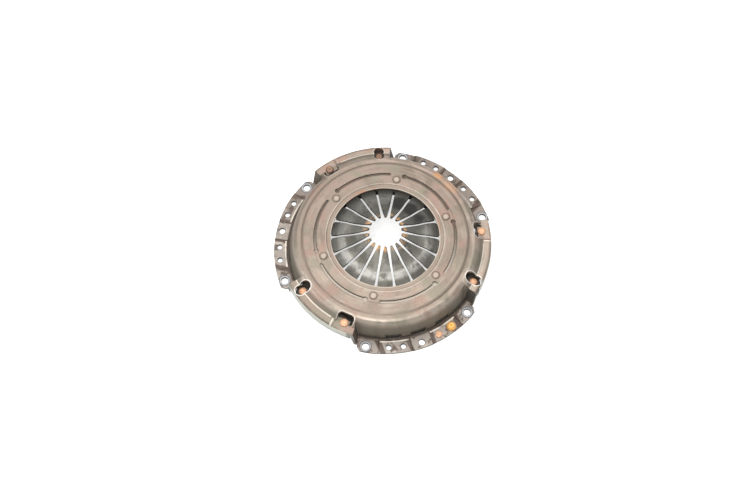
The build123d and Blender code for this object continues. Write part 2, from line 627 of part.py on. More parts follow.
# Pressure plate: friction ring, rim that the spring presses, and three strap lugs
plate_top = PLATE_FACE + PLATE_THICK
rim_out = RIM_R + RIM_ROUND
with BuildPart() as plate:
    with BuildSketch(Plane.XZ):
        with BuildLine():
            Polyline(
                (RIM_R - RIM_ROUND, RIM_CENTRE_Z),
                (RIM_R - RIM_ROUND, plate_top),
                (PLATE_BORE_R + PLATE_CHAMFER, plate_top),
                (PLATE_BORE_R, plate_top - PLATE_CHAMFER),
                (PLATE_BORE_R, PLATE_FACE + PLATE_CHAMFER),
                (PLATE_BORE_R + PLATE_CHAMFER, PLATE_FACE),
                (PLATE_R - PLATE_CHAMFER, PLATE_FACE),
                (PLATE_R, PLATE_FACE + PLATE_CHAMFER),
                (PLATE_R, PLATE_FACE + PLATE_EDGE),
                (PLATE_SHOULDER_R, PLATE_FACE + PLATE_SHOULDER_HEIGHT),
                (rim_out, PLATE_FACE + PLATE_SHOULDER_HEIGHT),
                (rim_out, RIM_CENTRE_Z),
            )
            ThreePointArc(
                (RIM_R - RIM_ROUND, RIM_CENTRE_Z),
                (RIM_R, RIM_TOP),
                (rim_out, RIM_CENTRE_Z),
            )
        make_face()
    revolve(axis=Axis.Z)
    # Gaps in the rim let air through
    with BuildSketch(Plane.XY.offset(RIM_TOP - RIM_GAP_DEPTH)):
        with PolarLocations(RIM_R, RIM_GAPS, start_angle=SPACER_FIRST + 180 / RIM_GAPS):
            Rectangle(RIM_WIDTH + OVERCUT, RIM_GAP_WIDTH)
    extrude(amount=RIM_GAP_DEPTH + OVERCUT, mode=Mode.SUBTRACT)
    # Lugs
    for number in range(SEGMENTS):
        lug_at = LEDGE_AT - STRAP_HALF_ANGLE + number * SEGMENT_PITCH
        with BuildSketch(Plane.XY.offset(PLATE_FACE + LUG_UNDERCUT)):
            with Locations(polar(STRAP_R, lug_at)):
                Circle(LUG_RADIUS)
            with Locations(Location(polar(LUG_ROOT_R, lug_at), (0, 0, lug_at))):
                Rectangle(OVERCUT, 2 * LUG_ROOT_HALF)
            make_hull()
        extrude(amount=LUG_TOP - PLATE_FACE - LUG_UNDERCUT)
    with BuildSketch(Plane.XY.offset(PLATE_FACE)):
        with PolarLocations(STRAP_R, SEGMENTS, start_angle=LEDGE_AT - STRAP_HALF_ANGLE):
            Circle(RIVET_SHANK / 2 + SHANK_GAP)
    extrude(amount=LUG_TOP, mode=Mode.SUBTRACT)
save(plate.part, "pressure_plate")

# Drive straps: each leaf runs from a rivet pad of the cover down to a plate lug
strap_plane = facing_plane(0, CHORD_R)
leaf_end = HALF_CHORD + LEAF_WIDTH / 2


def strap_leaf(layer):
    """One leaf, in place for a ledge at angle 0, layer 0 being the top one."""
    top = PACK_TOP - layer * LEAF_PITCH
    with BuildPart() as leaf:
        with BuildSketch(strap_plane):
            with BuildLine():
                top_line = FilletPolyline(
                    (leaf_end, top),
                    (HALF_CHORD - LEAF_FLAT, top),
                    (LEAF_FLAT - HALF_CHORD, top - STRAP_DROP),
                    (-leaf_end, top - STRAP_DROP),
                    radius=LEAF_BEND,
                )
                offset(top_line, amount=LEAF_THICK, side=Side.LEFT)
            make_face()
        extrude(amount=LEAF_WIDTH / 2, both=True)
        with BuildSketch(Plane.XY):
            with Locations(Location((CHORD_R, 0), (0, 0, 90))):
                SlotCenterToCenter(2 * HALF_CHORD, LEAF_WIDTH)
            for side in (-1, 1):
                with Locations((CHORD_R, side * HALF_CHORD)):
                    Circle(RIVET_SHANK / 2 + SHANK_GAP, mode=Mode.SUBTRACT)
        extrude(amount=COVER_TOP, mode=Mode.INTERSECT)
    return leaf.part


def rivet_at(part, angle):
    x, y = polar(STRAP_R, angle)
    return Pos(x, y, 0) * part


cover_rivet = turned(
    [
        (RIVET_HEAD / 2, PACK_TOP - PACK_THICK - RIVET_FOOT_HEIGHT),
        (RIVET_HEAD / 2, PACK_TOP - PACK_THICK),
        (RIVET_SHANK / 2, PACK_TOP - PACK_THICK),
        (RIVET_SHANK / 2, PAD_TOP),
        *domed_head(RIVET_HEAD / 2, RIVET_HEAD_HEIGHT, PAD_TOP),
    ]
)
plate_rivet = turned(
    [
        (RIVET_HEAD / 2, PLATE_FACE + LUG_UNDERCUT - RIVET_FOOT_HEIGHT),
        (RIVET_HEAD / 2, PLATE_FACE + LUG_UNDERCUT),
        (RIVET_SHANK / 2, PLATE_FACE + LUG_UNDERCUT),
        (RIVET_SHANK / 2, LUG_TOP + PACK_THICK),
        *domed_head(RIVET_HEAD / 2, RIVET_HEAD_HEIGHT, LUG_TOP + PACK_THICK),
    ]
)
leaves = [strap_leaf(layer) for layer in range(LEAVES)]
for number in range(SEGMENTS):
    middle = LEDGE_AT + number * SEGMENT_PITCH
    for layer, leaf in enumerate(leaves):
        save(leaf.rotate(Axis.Z, middle), f"strap_{number + 1}_leaf_{layer + 1}")
    cover_end = rivet_at(cover_rivet, middle + STRAP_HALF_ANGLE)
    save(cover_end, f"cover_strap_rivet_{number + 1}")
    plate_end = rivet_at(plate_rivet, middle - STRAP_HALF_ANGLE)
    save(plate_end, f"plate_strap_rivet_{number + 1}")


# Balance rivets in two of the first flange's balance holes
def balance_rivet(head, height, dimple):
    seat = SHEET + PAD_RISE
    rivet = turned(
        [
            (BALANCE_HOLE / 2 + BALANCE_FOOT_EDGE, PAD_RISE - BALANCE_FOOT_HEIGHT),
            (BALANCE_HOLE / 2 + BALANCE_FOOT_EDGE, PAD_RISE),
            (BALANCE_HOLE / 2 - SHANK_GAP, PAD_RISE),
            (BALANCE_HOLE / 2 - SHANK_GAP, seat),
            *domed_head(head / 2, height, seat),
        ]
    )
    if dimple:
        with BuildPart() as dimpled:
            add(rivet)
            with Locations((0, 0, seat + height)):
                CounterSinkHole(
                    radius=RIVET_DIMPLE_BOTTOM / 2,
                    counter_sink_radius=RIVET_DIMPLE / 2,
                    depth=RIVET_DIMPLE_DEPTH,
                )
        rivet = dimpled.part
    return rivet


low_x, low_y = polar(BOLT_R, BALANCE_ANGLES[0])
low_rivet = balance_rivet(LOW_RIVET_HEAD, LOW_RIVET_HEIGHT, dimple=False)
save(Pos(low_x, low_y, 0) * low_rivet, "balance_rivet_low")
tall_x, tall_y = polar(BOLT_R, BALANCE_ANGLES[1])
tall_rivet = balance_rivet(TALL_RIVET_HEAD, TALL_RIVET_HEIGHT, dimple=True)
save(Pos(tall_x, tall_y, 0) * tall_rivet, "balance_rivet_tall")
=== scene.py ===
import math

import bmesh
import bpy
from mathutils import Matrix, Vector


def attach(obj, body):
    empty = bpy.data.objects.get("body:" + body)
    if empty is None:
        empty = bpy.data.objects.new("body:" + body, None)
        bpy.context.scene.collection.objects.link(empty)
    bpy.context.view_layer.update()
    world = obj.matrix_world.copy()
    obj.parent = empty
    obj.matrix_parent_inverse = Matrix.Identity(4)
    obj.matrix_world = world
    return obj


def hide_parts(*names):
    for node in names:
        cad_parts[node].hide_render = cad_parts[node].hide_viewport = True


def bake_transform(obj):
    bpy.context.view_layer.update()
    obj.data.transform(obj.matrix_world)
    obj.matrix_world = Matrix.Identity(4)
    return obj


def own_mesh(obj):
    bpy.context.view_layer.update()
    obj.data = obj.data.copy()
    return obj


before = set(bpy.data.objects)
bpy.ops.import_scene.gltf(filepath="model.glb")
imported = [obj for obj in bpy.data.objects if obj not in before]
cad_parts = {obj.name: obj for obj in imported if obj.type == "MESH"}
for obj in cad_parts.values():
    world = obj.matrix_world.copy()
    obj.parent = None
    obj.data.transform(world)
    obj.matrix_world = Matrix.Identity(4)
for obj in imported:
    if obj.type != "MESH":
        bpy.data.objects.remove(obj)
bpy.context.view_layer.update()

MM = 0.001
SEGMENTS = 3
LEDGE_AT = 60.0  # degrees, the middle of the first raised ledge
SPACERS = 6
SPACER_AT = 30.0  # the first spacer rivet
SPACER_R = 80.0 * MM
PIVOT_R = 86.7 * MM
STRAP_R = 120.4 * MM
STRAP_HALF_ANGLE = 16.1
LEAVES = 3
BOLT_R = 132.4 * MM
BOLT_ANGLE = 30.0
LOW_RIVET_ANGLE = 10.0
TALL_RIVET_ANGLE = 17.8
VENT_R = 119.0 * MM
VENT_ANGLES = (-15.0, 0.0, 16.0)
KEYHOLE_IN_R = 0.1166  # also the middle of a window
KEYHOLE_OUT_R = 0.1238
PAD_EDGE_SLOPE = 0.1763  # of the radial step beside the rivet pads
FINGERS = 18
SMOOTH_ANGLE = math.radians(25)

# Camera, fitted to the photograph
HEADING = 69.5  # degrees that the photographer stands round from the -Y side
TILT = 65.718  # degrees above the floor
ROLL = 0.972
DISTANCE = 1.294723
LENS = 50.88

# The deeper lip of a ledge, outline in mm
LIP_PROFILE = ((131.95, 26.6), (131.95, 15.4), (129.95, 15.4), (129.95, 26.6))
LIP_HALF_ANGLE = 21.6
LIP_STEPS = 48
LIP_BEVEL = 0.4 * MM


def polar(radius, angle, height=0.0):
    turn = math.radians(angle)
    return Vector((radius * math.cos(turn), radius * math.sin(turn), height))


class Signal:
    """A socket of a finish, with the arithmetic that the masks are written in."""

    def __init__(self, finish, socket):
        self.finish = finish
        self.socket = socket

    def maths(self, operation, *values):
        return self.finish.add("ShaderNodeMath", {"operation": operation}, values)

    def __add__(self, other):
        return self.maths("ADD", self, other)

    def __radd__(self, other):
        return self.maths("ADD", other, self)

    def __sub__(self, other):
        return self.maths("SUBTRACT", self, other)

    def __rsub__(self, other):
        return self.maths("SUBTRACT", other, self)

    def __mul__(self, other):
        return self.maths("MULTIPLY", self, other)

    def __rmul__(self, other):
        return self.maths("MULTIPLY", other, self)

    def __truediv__(self, other):
        return self.maths("DIVIDE", self, other)

    def __abs__(self):
        return self.maths("ABSOLUTE", self)

    def root(self):
        return self.maths("SQRT", self)

    def low(self, other):
        return self.maths("MINIMUM", self, other)

    def high(self, other):
        return self.maths("MAXIMUM", self, other)

    def ramp(self, start, end):
        """0 at start, 1 at end, soft between them."""
        values = {"Value": self, "From Min": start, "From Max": end}
        settings = {"interpolation_type": "SMOOTHSTEP"}
        return self.finish.add("ShaderNodeMapRange", settings, values)


class Finish:
    """A material of one finish, built from procedural nodes on Object coordinates."""

    def __init__(self, name):
        self.material = bpy.data.materials.new(name)
        self.material.use_nodes = True
        self.tree = self.material.node_tree
        self.tree.nodes.clear()
        self.surface = self.tree.nodes.new("ShaderNodeBsdfPrincipled")
        output = self.tree.nodes.new("ShaderNodeOutputMaterial")
        self.tree.links.new(self.surface.outputs[0], output.inputs["Surface"])
        self.place = self.add("ShaderNodeTexCoord", output="Object")
        parts = self.tree.nodes.new("ShaderNodeSeparateXYZ")
        self.tree.links.new(self.place.socket, parts.inputs[0])
        self.x, self.y, self.z = (Signal(self, socket) for socket in parts.outputs)

    def add(self, kind, settings=None, values=(), output=0):
        node = self.tree.nodes.new(kind)
        for key, value in (settings or {}).items():
            if key == "stops":
                stops = node.color_ramp.elements
                while len(stops) < len(value):
                    stops.new(0.5)
                for stop, (position, colour) in zip(stops, value):
                    stop.position = position
                    stop.color = (*colour, 1.0)
            else:
                setattr(node, key, value)
        pairs = values.items() if isinstance(values, dict) else enumerate(values)
        for key, value in pairs:
            self.feed(node.inputs[key], value)
        return Signal(self, node.outputs[output])

    def feed(self, socket, value):
        if isinstance(value, Signal):
            self.tree.links.new(value.socket, socket)
        elif isinstance(value, tuple) and socket.type == "RGBA":
            socket.default_value = (*value, 1.0)
        else:
            socket.default_value = value

    def noise(self, scale, detail=3.0, roughness=0.55, distortion=0.0, at=None):
        values = {
            "Vector": at or self.place,
            "Scale": scale,
            "Detail": detail,
            "Roughness": roughness,
            "Distortion": distortion,
        }
        return self.add("ShaderNodeTexNoise", {}, values)

    def vector(self, x, y, z):
        return self.add("ShaderNodeCombineXYZ", {}, (x, y, z))

    def mix(self, factor, first, second, blend="MIX"):
        settings = {"data_type": "RGBA", "blend_type": blend, "clamp_factor": True}
        return self.add("ShaderNodeMix", settings, {0: factor, 6: first, 7: second}, 2)

    def radius(self):
        return (self.x * self.x + self.y * self.y).root()

    def away(self):
        """Distance from the axis towards the photograph's far side, below 0 on the near side."""
        return self.y * 0.35 - self.x * 0.937

    def upward(self):
        """Height of the surface's normal, 1 where it faces up and -1 where it faces down."""
        normal = self.add("ShaderNodeNewGeometry", output="Normal")
        parts = self.tree.nodes.new("ShaderNodeSeparateXYZ")
        self.tree.links.new(normal.socket, parts.inputs[0])
        return Signal(self, parts.outputs[2])

    def segment(self, middle):
        """Place in the nearest of three equal segments: outwards, and along it from its middle."""
        angle = self.x.maths("ARCTAN2", self.y, self.x) - math.radians(middle)
        third = math.pi / SEGMENTS
        angle = angle.maths("WRAP", angle, third, -third)
        radius = self.radius()
        return radius * angle.maths("COSINE", angle), radius * angle.maths("SINE", angle)

    def from_axis(self, centre):
        """Distance from the upright axis through a point."""
        across = self.x - centre.x
        along = self.y - centre.y
        return (across * across + along * along).root()

    def away_from(self, place, radius, angle):
        """Distance from an upright axis, within a segment."""
        across = place[0] - radius * math.cos(math.radians(angle))
        along = place[1] - radius * math.sin(math.radians(angle))
        return (across * across + along * along).root()

    def lathe_lines(self, fine):
        """Noise drawn out round the axis, as on a part that was turned or worn in rotation."""
        radius = self.radius()
        around = 2.2
        outwards = (radius + self.z) * fine
        place = self.vector(self.x / radius * around, self.y / radius * around, outwards)
        return self.noise(1.0, 4.0, 0.6, at=place)

    def near(self, point, reach, soft, ripple):
        """1 within reach of a point, falling to 0 over soft, with a rippled border. Metres."""
        away = [abs(part - value) for part, value in zip((self.x, self.y, self.z), point)]
        distance = (away[0] * away[0] + away[1] * away[1] + away[2] * away[2]).root()
        return (distance + ripple).ramp(reach + soft, reach)

    def edges(self, size):
        """1 along convex and concave edges, within size of them."""
        rounded = self.add("ShaderNodeBevel", {"samples": 6}, {"Radius": size})
        flat = self.add("ShaderNodeNewGeometry", output="Normal")
        settings = {"operation": "DOT_PRODUCT"}
        cosine = self.add("ShaderNodeVectorMath", settings, (rounded, flat), "Value")
        return (1.0 - cosine).ramp(0.06, 0.35)

    def relief(self, height, depth, strength, size=None):
        """Bump, on edges rounded to size where it is given."""
        values = {"Strength": strength, "Distance": depth, "Height": height}
        if size is not None:
            values["Normal"] = self.add("ShaderNodeBevel", {"samples": 6}, {"Radius": size})
        self.feed(self.surface.inputs["Normal"], self.add("ShaderNodeBump", {}, values))

    def finish(self, colour, roughness, metallic, **constants):
        self.feed(self.surface.inputs["Base Color"], colour)
        self.feed(self.surface.inputs["Roughness"], roughness)
        self.feed(self.surface.inputs["Metallic"], metallic)
        for name, value in constants.items():
            self.surface.inputs[name.replace("_", " ")].default_value = value
        return self.material


# Colours, linear
TAUPE = (0.415, 0.335, 0.270)
TAUPE_DARK = (0.27, 0.215, 0.170)
TAUPE_PALE = (0.58, 0.50, 0.42)
TAUPE_PINK = (0.47, 0.35, 0.30)
OLIVE_GREY = (0.150, 0.135, 0.100)
SLATE = (0.10, 0.11, 0.125)
CREAM = (0.78, 0.72, 0.62)
UMBER = (0.075, 0.048, 0.034)
RUST = (0.62, 0.31, 0.13)
SPRING_GREY = (0.155, 0.148, 0.128)
SPRING_PALE = (0.255, 0.25, 0.225)
REFLECTED_DARK = (0.03, 0.028, 0.026)
PEACH = (0.82, 0.48, 0.30)
PEACH_SHADED = (0.15, 0.105, 0.082)
ORANGE = (1.0, 0.55, 0.15)
IRON = (0.085, 0.075, 0.065)
GROUND = (0.42, 0.41, 0.39)


def cover_finish():
    """Worn pressed steel: brown film, pale worn edges, dark skirt and a few patches of rust."""
    steel = Finish("cover_steel")
    radius = steel.radius()
    height = steel.z
    upward = steel.upward()
    cloud = steel.noise(26.0, 4.0, 0.55)
    blotch = steel.noise(75.0, 4.0, 0.6)
    speck = steel.noise(420.0, 3.0, 0.6)
    lines = steel.lathe_lines(700.0)
    bands = steel.lathe_lines(190.0)
    film = steel.mix(cloud.ramp(0.35, 0.62), TAUPE_DARK, TAUPE)
    film = steel.mix(bands.ramp(0.5, 0.7) * 0.35, film, TAUPE_PALE)
    film = steel.mix(lines.ramp(0.45, 0.75) * 0.3, film, TAUPE_PALE)
    film = steel.mix(lines.ramp(0.5, 0.3) * 0.3, film, TAUPE_DARK)
    away = steel.away()
    far_side = away.ramp(-0.02, 0.12)
    film = steel.mix(far_side * cloud.ramp(0.4, 0.6) * 0.5, film, TAUPE_PINK)
    # Painted shade: outside the flat ring the dome is darker on the camera's left
    left_side = (steel.x * 0.35 + steel.y * 0.937).ramp(0.04, -0.08)
    outside = radius.ramp(0.1015, 0.1050)
    film = steel.mix(outside * left_side * (0.45 + 0.5 * cloud), film, TAUPE_DARK)
    film = steel.mix(speck.ramp(0.60, 0.72) * 0.3, film, UMBER)
    # Painted shade: the flat ring is darker than the dome's slope, and darkest away from the
    # camera's side
    ring = radius.ramp(0.1045, 0.1005)
    near_side = away.ramp(0.02, -0.06)
    film = steel.mix(ring * (1.0 - 0.6 * near_side), film, (0.70, 0.69, 0.68), "MULTIPLY")
    # Painted highlight: the dome's shoulder is paler on the camera's side
    swell = radius.ramp(0.1065, 0.1095) * radius.ramp(0.1165, 0.1130) * height.ramp(0.0330, 0.0350)
    film = steel.mix(swell * near_side * (0.2 + 0.35 * blotch), film, TAUPE_PALE)
    beside = steel.vector(steel.x, steel.y + 0.3, height * 0.2)
    tarnish = steel.noise(38.0, 4.0, 0.6, 0.4, at=beside)
    film = steel.mix(tarnish.ramp(0.52, 0.64) * 0.6, film, (0.24, 0.225, 0.165))
    film = steel.mix(tarnish.ramp(0.46, 0.36) * 0.55, film, (0.34, 0.215, 0.17))
    # Skirt: darker and greener than the dome; the walls between the dome and the ledges get the
    # same colour as painted shade
    flange = steel.segment(0.0)
    ledge = steel.segment(LEDGE_AT)
    skirt = height.ramp(0.034, 0.024) * radius.ramp(0.1130, 0.1160) * radius.ramp(0.1235, 0.1215)
    film = steel.mix(skirt * (0.45 + 0.5 * cloud), film, OLIVE_GREY)
    step_wall = radius.ramp(0.1150, 0.1175) * radius.ramp(0.1214, 0.1204)
    step_wall = step_wall * height.ramp(0.0285, 0.0300)
    film = steel.mix(step_wall * abs(ledge[1]).ramp(0.052, 0.044) * 0.6, film, OLIVE_GREY)
    # Painted shade: a soft dark line at the foot of the step outside the flat ring
    step = abs(radius - 0.1032 + (blotch - 0.5) * 0.0016).ramp(0.0024, 0.0004)
    film = steel.mix(step * 0.55, film, TAUPE_DARK)
    film = steel.mix(step.ramp(0.6, 1.0) * cloud.ramp(0.4, 0.6) * 0.4, film, UMBER)
    # Pivot grooves: dirt and painted shade along the walls, the edges and the dimples; the groove's
    # floor is painted dark on the far side and given a painted highlight on the camera's side
    sunk = height.ramp(0.03985, 0.0396) * height.ramp(0.0355, 0.0365)
    sunk = sunk * abs(radius - PIVOT_R).ramp(0.0044, 0.0038)
    floor_of_groove = sunk * upward.ramp(0.9, 0.97)
    film = steel.mix(floor_of_groove * (1.0 - near_side) * 0.45, film, UMBER)
    film = steel.mix(floor_of_groove * near_side * 0.6, film, CREAM)
    groove_wall = sunk * upward.ramp(0.9, 0.6)
    film = steel.mix(groove_wall * (0.5 + 0.4 * near_side), film, (0.05, 0.036, 0.028))
    brim = abs(abs(radius - PIVOT_R) - 0.0021).ramp(0.0009, 0.0003) * height.ramp(0.0385, 0.0392)
    fade = steel.noise(14.0, 2.0, 0.5).ramp(0.40, 0.56)
    film = steel.mix(brim * (fade * 0.35 + sunk * near_side * 0.5), film, UMBER)
    # Bore: brown coined lip between two painted highlights on its edges
    lip = radius.ramp(0.0722, 0.0712)
    film = steel.mix(lip * 0.45, film, TAUPE_DARK)
    bright = abs(radius - 0.0731).ramp(0.0010, 0.0003).high(radius.ramp(0.0684, 0.0675))
    bright = bright * height.ramp(0.0375, 0.0385) * (0.15 + 0.6 * blotch)
    film = steel.mix(bright * (0.45 + 0.55 * fade), film, CREAM)
    # Painted shade in a ring round the heads of the spacer rivets, and painted highlights on their
    # tops
    for number in range(SPACERS):
        centre = polar(SPACER_R, SPACER_AT + 360 / SPACERS * number)
        distance = steel.from_axis(centre)
        ring_shade = abs(distance - 0.0049).ramp(0.0013, 0.0003) * height.ramp(0.0406, 0.0401)
        film = steel.mix(ring_shade * 0.45, film, UMBER)
        head = distance.ramp(0.0046, 0.0020) * height.ramp(0.0405, 0.0410)
        film = steel.mix(head * 0.4, film, TAUPE_PALE)
    # Flanges: greyer, darker on the sloped bands and along the skirt's foot
    low = height.ramp(0.0066, 0.0060) * radius.ramp(0.1205, 0.1220)
    film = steel.mix(low * 0.75, film, (0.31, 0.28, 0.25))
    streak = steel.noise(60.0, 4.0, 0.6)
    film = steel.mix(low * streak.ramp(0.52, 0.64) * 0.4, film, (0.60, 0.54, 0.46))
    slope = None
    for middle, half in ((0.0142, 0.0022), (0.0500, 0.0030)):
        place = abs(abs(flange[1]) - middle + (streak - 0.5) * 0.006)
        band = place.ramp(half + 0.0012, half - 0.0006)
        slope = band if slope is None else slope.high(band)
    slope = slope * low * radius.ramp(0.1225, 0.1240)
    film = steel.mix(slope * (0.6 + 0.6 * blotch), film, (0.085, 0.056, 0.042))
    # Painted shade: the flanges are darker on the far side
    film = steel.mix(low * far_side * (0.35 + 0.6 * cloud), film, (0.15, 0.115, 0.092))
    foot = height.ramp(0.0085, 0.0062) * radius.ramp(0.1243, 0.1232) * radius.ramp(0.1185, 0.1195)
    film = steel.mix(foot * 0.75, film, UMBER)
    # Painted shade over and above the vents, standing in for their dark openings
    for angle in VENT_ANGLES:
        vent = VENT_R * math.sin(math.radians(angle))
        vent_shade = abs(flange[1] - vent).ramp(0.0115, 0.0085) * height.ramp(0.0150, 0.0115)
        vent_shade = vent_shade * height.ramp(0.0050, 0.0056) * radius.ramp(0.1232, 0.1225)
        film = steel.mix(vent_shade * (0.6 + 0.5 * blotch), film, (0.03, 0.028, 0.026))
    dirt = low * steel.noise(110.0, 4.0, 0.65).ramp(0.52, 0.62)
    film = steel.mix(dirt * 0.8, film, UMBER)
    # Painted highlight along the inner edge of the flange pads, fainter on the far side
    pad_edge = abs(radius - 0.1250).ramp(0.0011, 0.0004) * upward.ramp(0.9, 0.97)
    pad_edge = pad_edge * height.ramp(0.0046, 0.0050) * height.ramp(0.0070, 0.0056)
    pad_edge = pad_edge * (0.9 - 0.6 * far_side) * blotch.ramp(0.3, 0.55)
    film = steel.mix(pad_edge, film, CREAM)
    # Seats round the bolt holes with a dark outline, and painted shade on the rims of all holes,
    # where their walls lie in shadow
    side = (flange[0], abs(flange[1]))
    bolt = steel.away_from(side, BOLT_R, BOLT_ANGLE)
    film = steel.mix(low * bolt.ramp(0.0069, 0.0063) * 0.6, film, (0.50, 0.51, 0.52))
    rim = abs(bolt - 0.0070).ramp(0.0009, 0.0004).high(bolt.ramp(0.0052, 0.0047))
    for hole, angle in ((0.0040, 0.0), (0.0034, LOW_RIVET_ANGLE), (0.0034, TALL_RIVET_ANGLE)):
        rim = rim.high(steel.away_from(side, BOLT_R, angle).ramp(hole + 0.0008, hole + 0.0003))
    film = steel.mix(low * rim * 0.85, film, SLATE)
    # Lip under the outer edge of a ledge: a painted reflection of the pale floor, with a grey foot.
    # The slate-grey end walls
    lip_wall = radius.ramp(0.1306, 0.1314) * upward.ramp(0.7, 0.4) * height.ramp(0.012, 0.014)
    film = steel.mix(lip_wall * (0.6 + 0.4 * streak), film, (0.66, 0.67, 0.60))
    film = steel.mix(lip_wall * height.ramp(0.0185, 0.0170) * 0.5, film, (0.30, 0.31, 0.30))
    brink = abs(radius - 0.1304).ramp(0.0012, 0.0004) * height.ramp(0.0285, 0.0290)
    brink = brink * blotch.ramp(0.35, 0.6)
    film = steel.mix(brink * 0.5, film, UMBER)
    end_wall = abs(ledge[1]).ramp(0.0435, 0.0445) * radius.ramp(0.1190, 0.1205)
    end_wall = end_wall * upward.ramp(0.75, 0.5) * height.ramp(0.0045, 0.0060)
    end_wall = end_wall * ledge[0].ramp(0.09, 0.1) * (0.55 + 0.6 * blotch)
    film = steel.mix(end_wall * (1.0 - 0.4 * left_side), film, (0.065, 0.062, 0.052))
    # Painted highlights on the rims of the keyholes and windows and on the step of the rivet pads,
    # fainter away from the camera's side; a dark line beside the step
    keyhole = steel.away_from(ledge, KEYHOLE_IN_R, -STRAP_HALF_ANGLE) - 0.0069
    keyhole = keyhole.low(steel.away_from(ledge, KEYHOLE_OUT_R, -STRAP_HALF_ANGLE) - 0.0063)
    turn = math.radians(STRAP_HALF_ANGLE)
    outwards = ledge[0] * math.cos(turn) + ledge[1] * math.sin(turn)
    sideways = ledge[1] * math.cos(turn) - ledge[0] * math.sin(turn)
    over = (abs(outwards - KEYHOLE_IN_R) - 0.0013).high(0.0)
    beside = (abs(sideways) - 0.0055).high(0.0)
    window = (over * over + beside * beside).root() - 0.0050
    on_top = upward.ramp(0.5, 0.7)
    rims = keyhole.ramp(0.0015, 0.0008) * height.ramp(0.0285, 0.0290)
    rims = rims.high(window.ramp(0.0014, 0.0002) * height.ramp(0.0300, 0.0320) * 0.8)
    rims = rims * on_top * (0.6 + 0.4 * blotch)
    film = steel.mix(rims * (1.0 - 0.75 * far_side), film, (0.86, 0.80, 0.74))
    off_step = ledge[1] - ledge[0] * PAD_EDGE_SLOPE
    pad_step = abs(off_step + 0.0004).ramp(0.0016, 0.0010) * radius.ramp(0.1215, 0.1225)
    film = steel.mix(pad_step * height.ramp(0.0280, 0.0300) * (0.8 - 0.7 * far_side), film, CREAM)
    pad_line = abs(off_step - 0.0018).ramp(0.0010, 0.0004) * radius.ramp(0.1215, 0.1225)
    film = steel.mix(pad_line * height.ramp(0.0280, 0.0300) * 0.7, film, UMBER)
    # Worn edges
    worn = steel.edges(0.0012)
    film = steel.mix(worn * (0.35 + 0.5 * blotch) * (1.0 - low * 0.6), film, CREAM)
    # Painted highlight along the crease where the wall meets a ledge
    crease = abs(radius - 0.1216 + (blotch - 0.5) * 0.0008).ramp(0.0010, 0.0003)
    crease = crease * abs(height - 0.0316).ramp(0.0012, 0.0006) * ledge[1].ramp(0.018, 0.015)
    film = steel.mix(crease * 0.85, film, CREAM)
    # Painted shade: surfaces facing down, seen inside and through the holes, are dark
    film = steel.mix(upward.ramp(-0.15, -0.4) * height.ramp(0.004, 0.006) * 0.9, film, UMBER)
    # Rust at the shoulder, on the bore's lip and a little on the ledges
    ripple = (bands - 0.5) * 0.016 + (speck - 0.5) * 0.004
    patch = steel.near((-0.0606, 0.0951, 0.0365), 0.002, 0.009, ripple)
    patch = patch.high(steel.near((-0.0408, 0.1027, 0.0365), 0.002, 0.014, ripple) * 0.5)
    lip_rust = steel.near((-0.0670, 0.0010, 0.0385), 0.004, 0.010, ripple)
    lip_rust = lip_rust.high(steel.near((-0.0650, -0.0120, 0.0385), 0.004, 0.014, ripple) * 0.6)
    lip_rust = lip_rust.high(steel.near((0.0060, 0.0680, 0.0385), 0.003, 0.012, ripple) * 0.5)
    lip_rust = lip_rust * radius.ramp(0.0712, 0.0700) * streak.ramp(0.45, 0.58)
    film = steel.mix(lip_rust * 0.6, film, (0.36, 0.15, 0.07))
    film = steel.mix(patch * 0.85, film, RUST)
    grain = lines * 0.4 + speck * 0.3 + blotch * 0.3
    steel.relief(grain, 0.00020, 0.5, 0.0008)
    gloss = 0.36 + 0.18 * cloud + 0.14 * speck + 0.2 * sunk - 0.14 * swell - 0.1 * lip_wall
    return steel.finish(film, gloss, 0.55 - 0.3 * patch - 0.2 * slope)


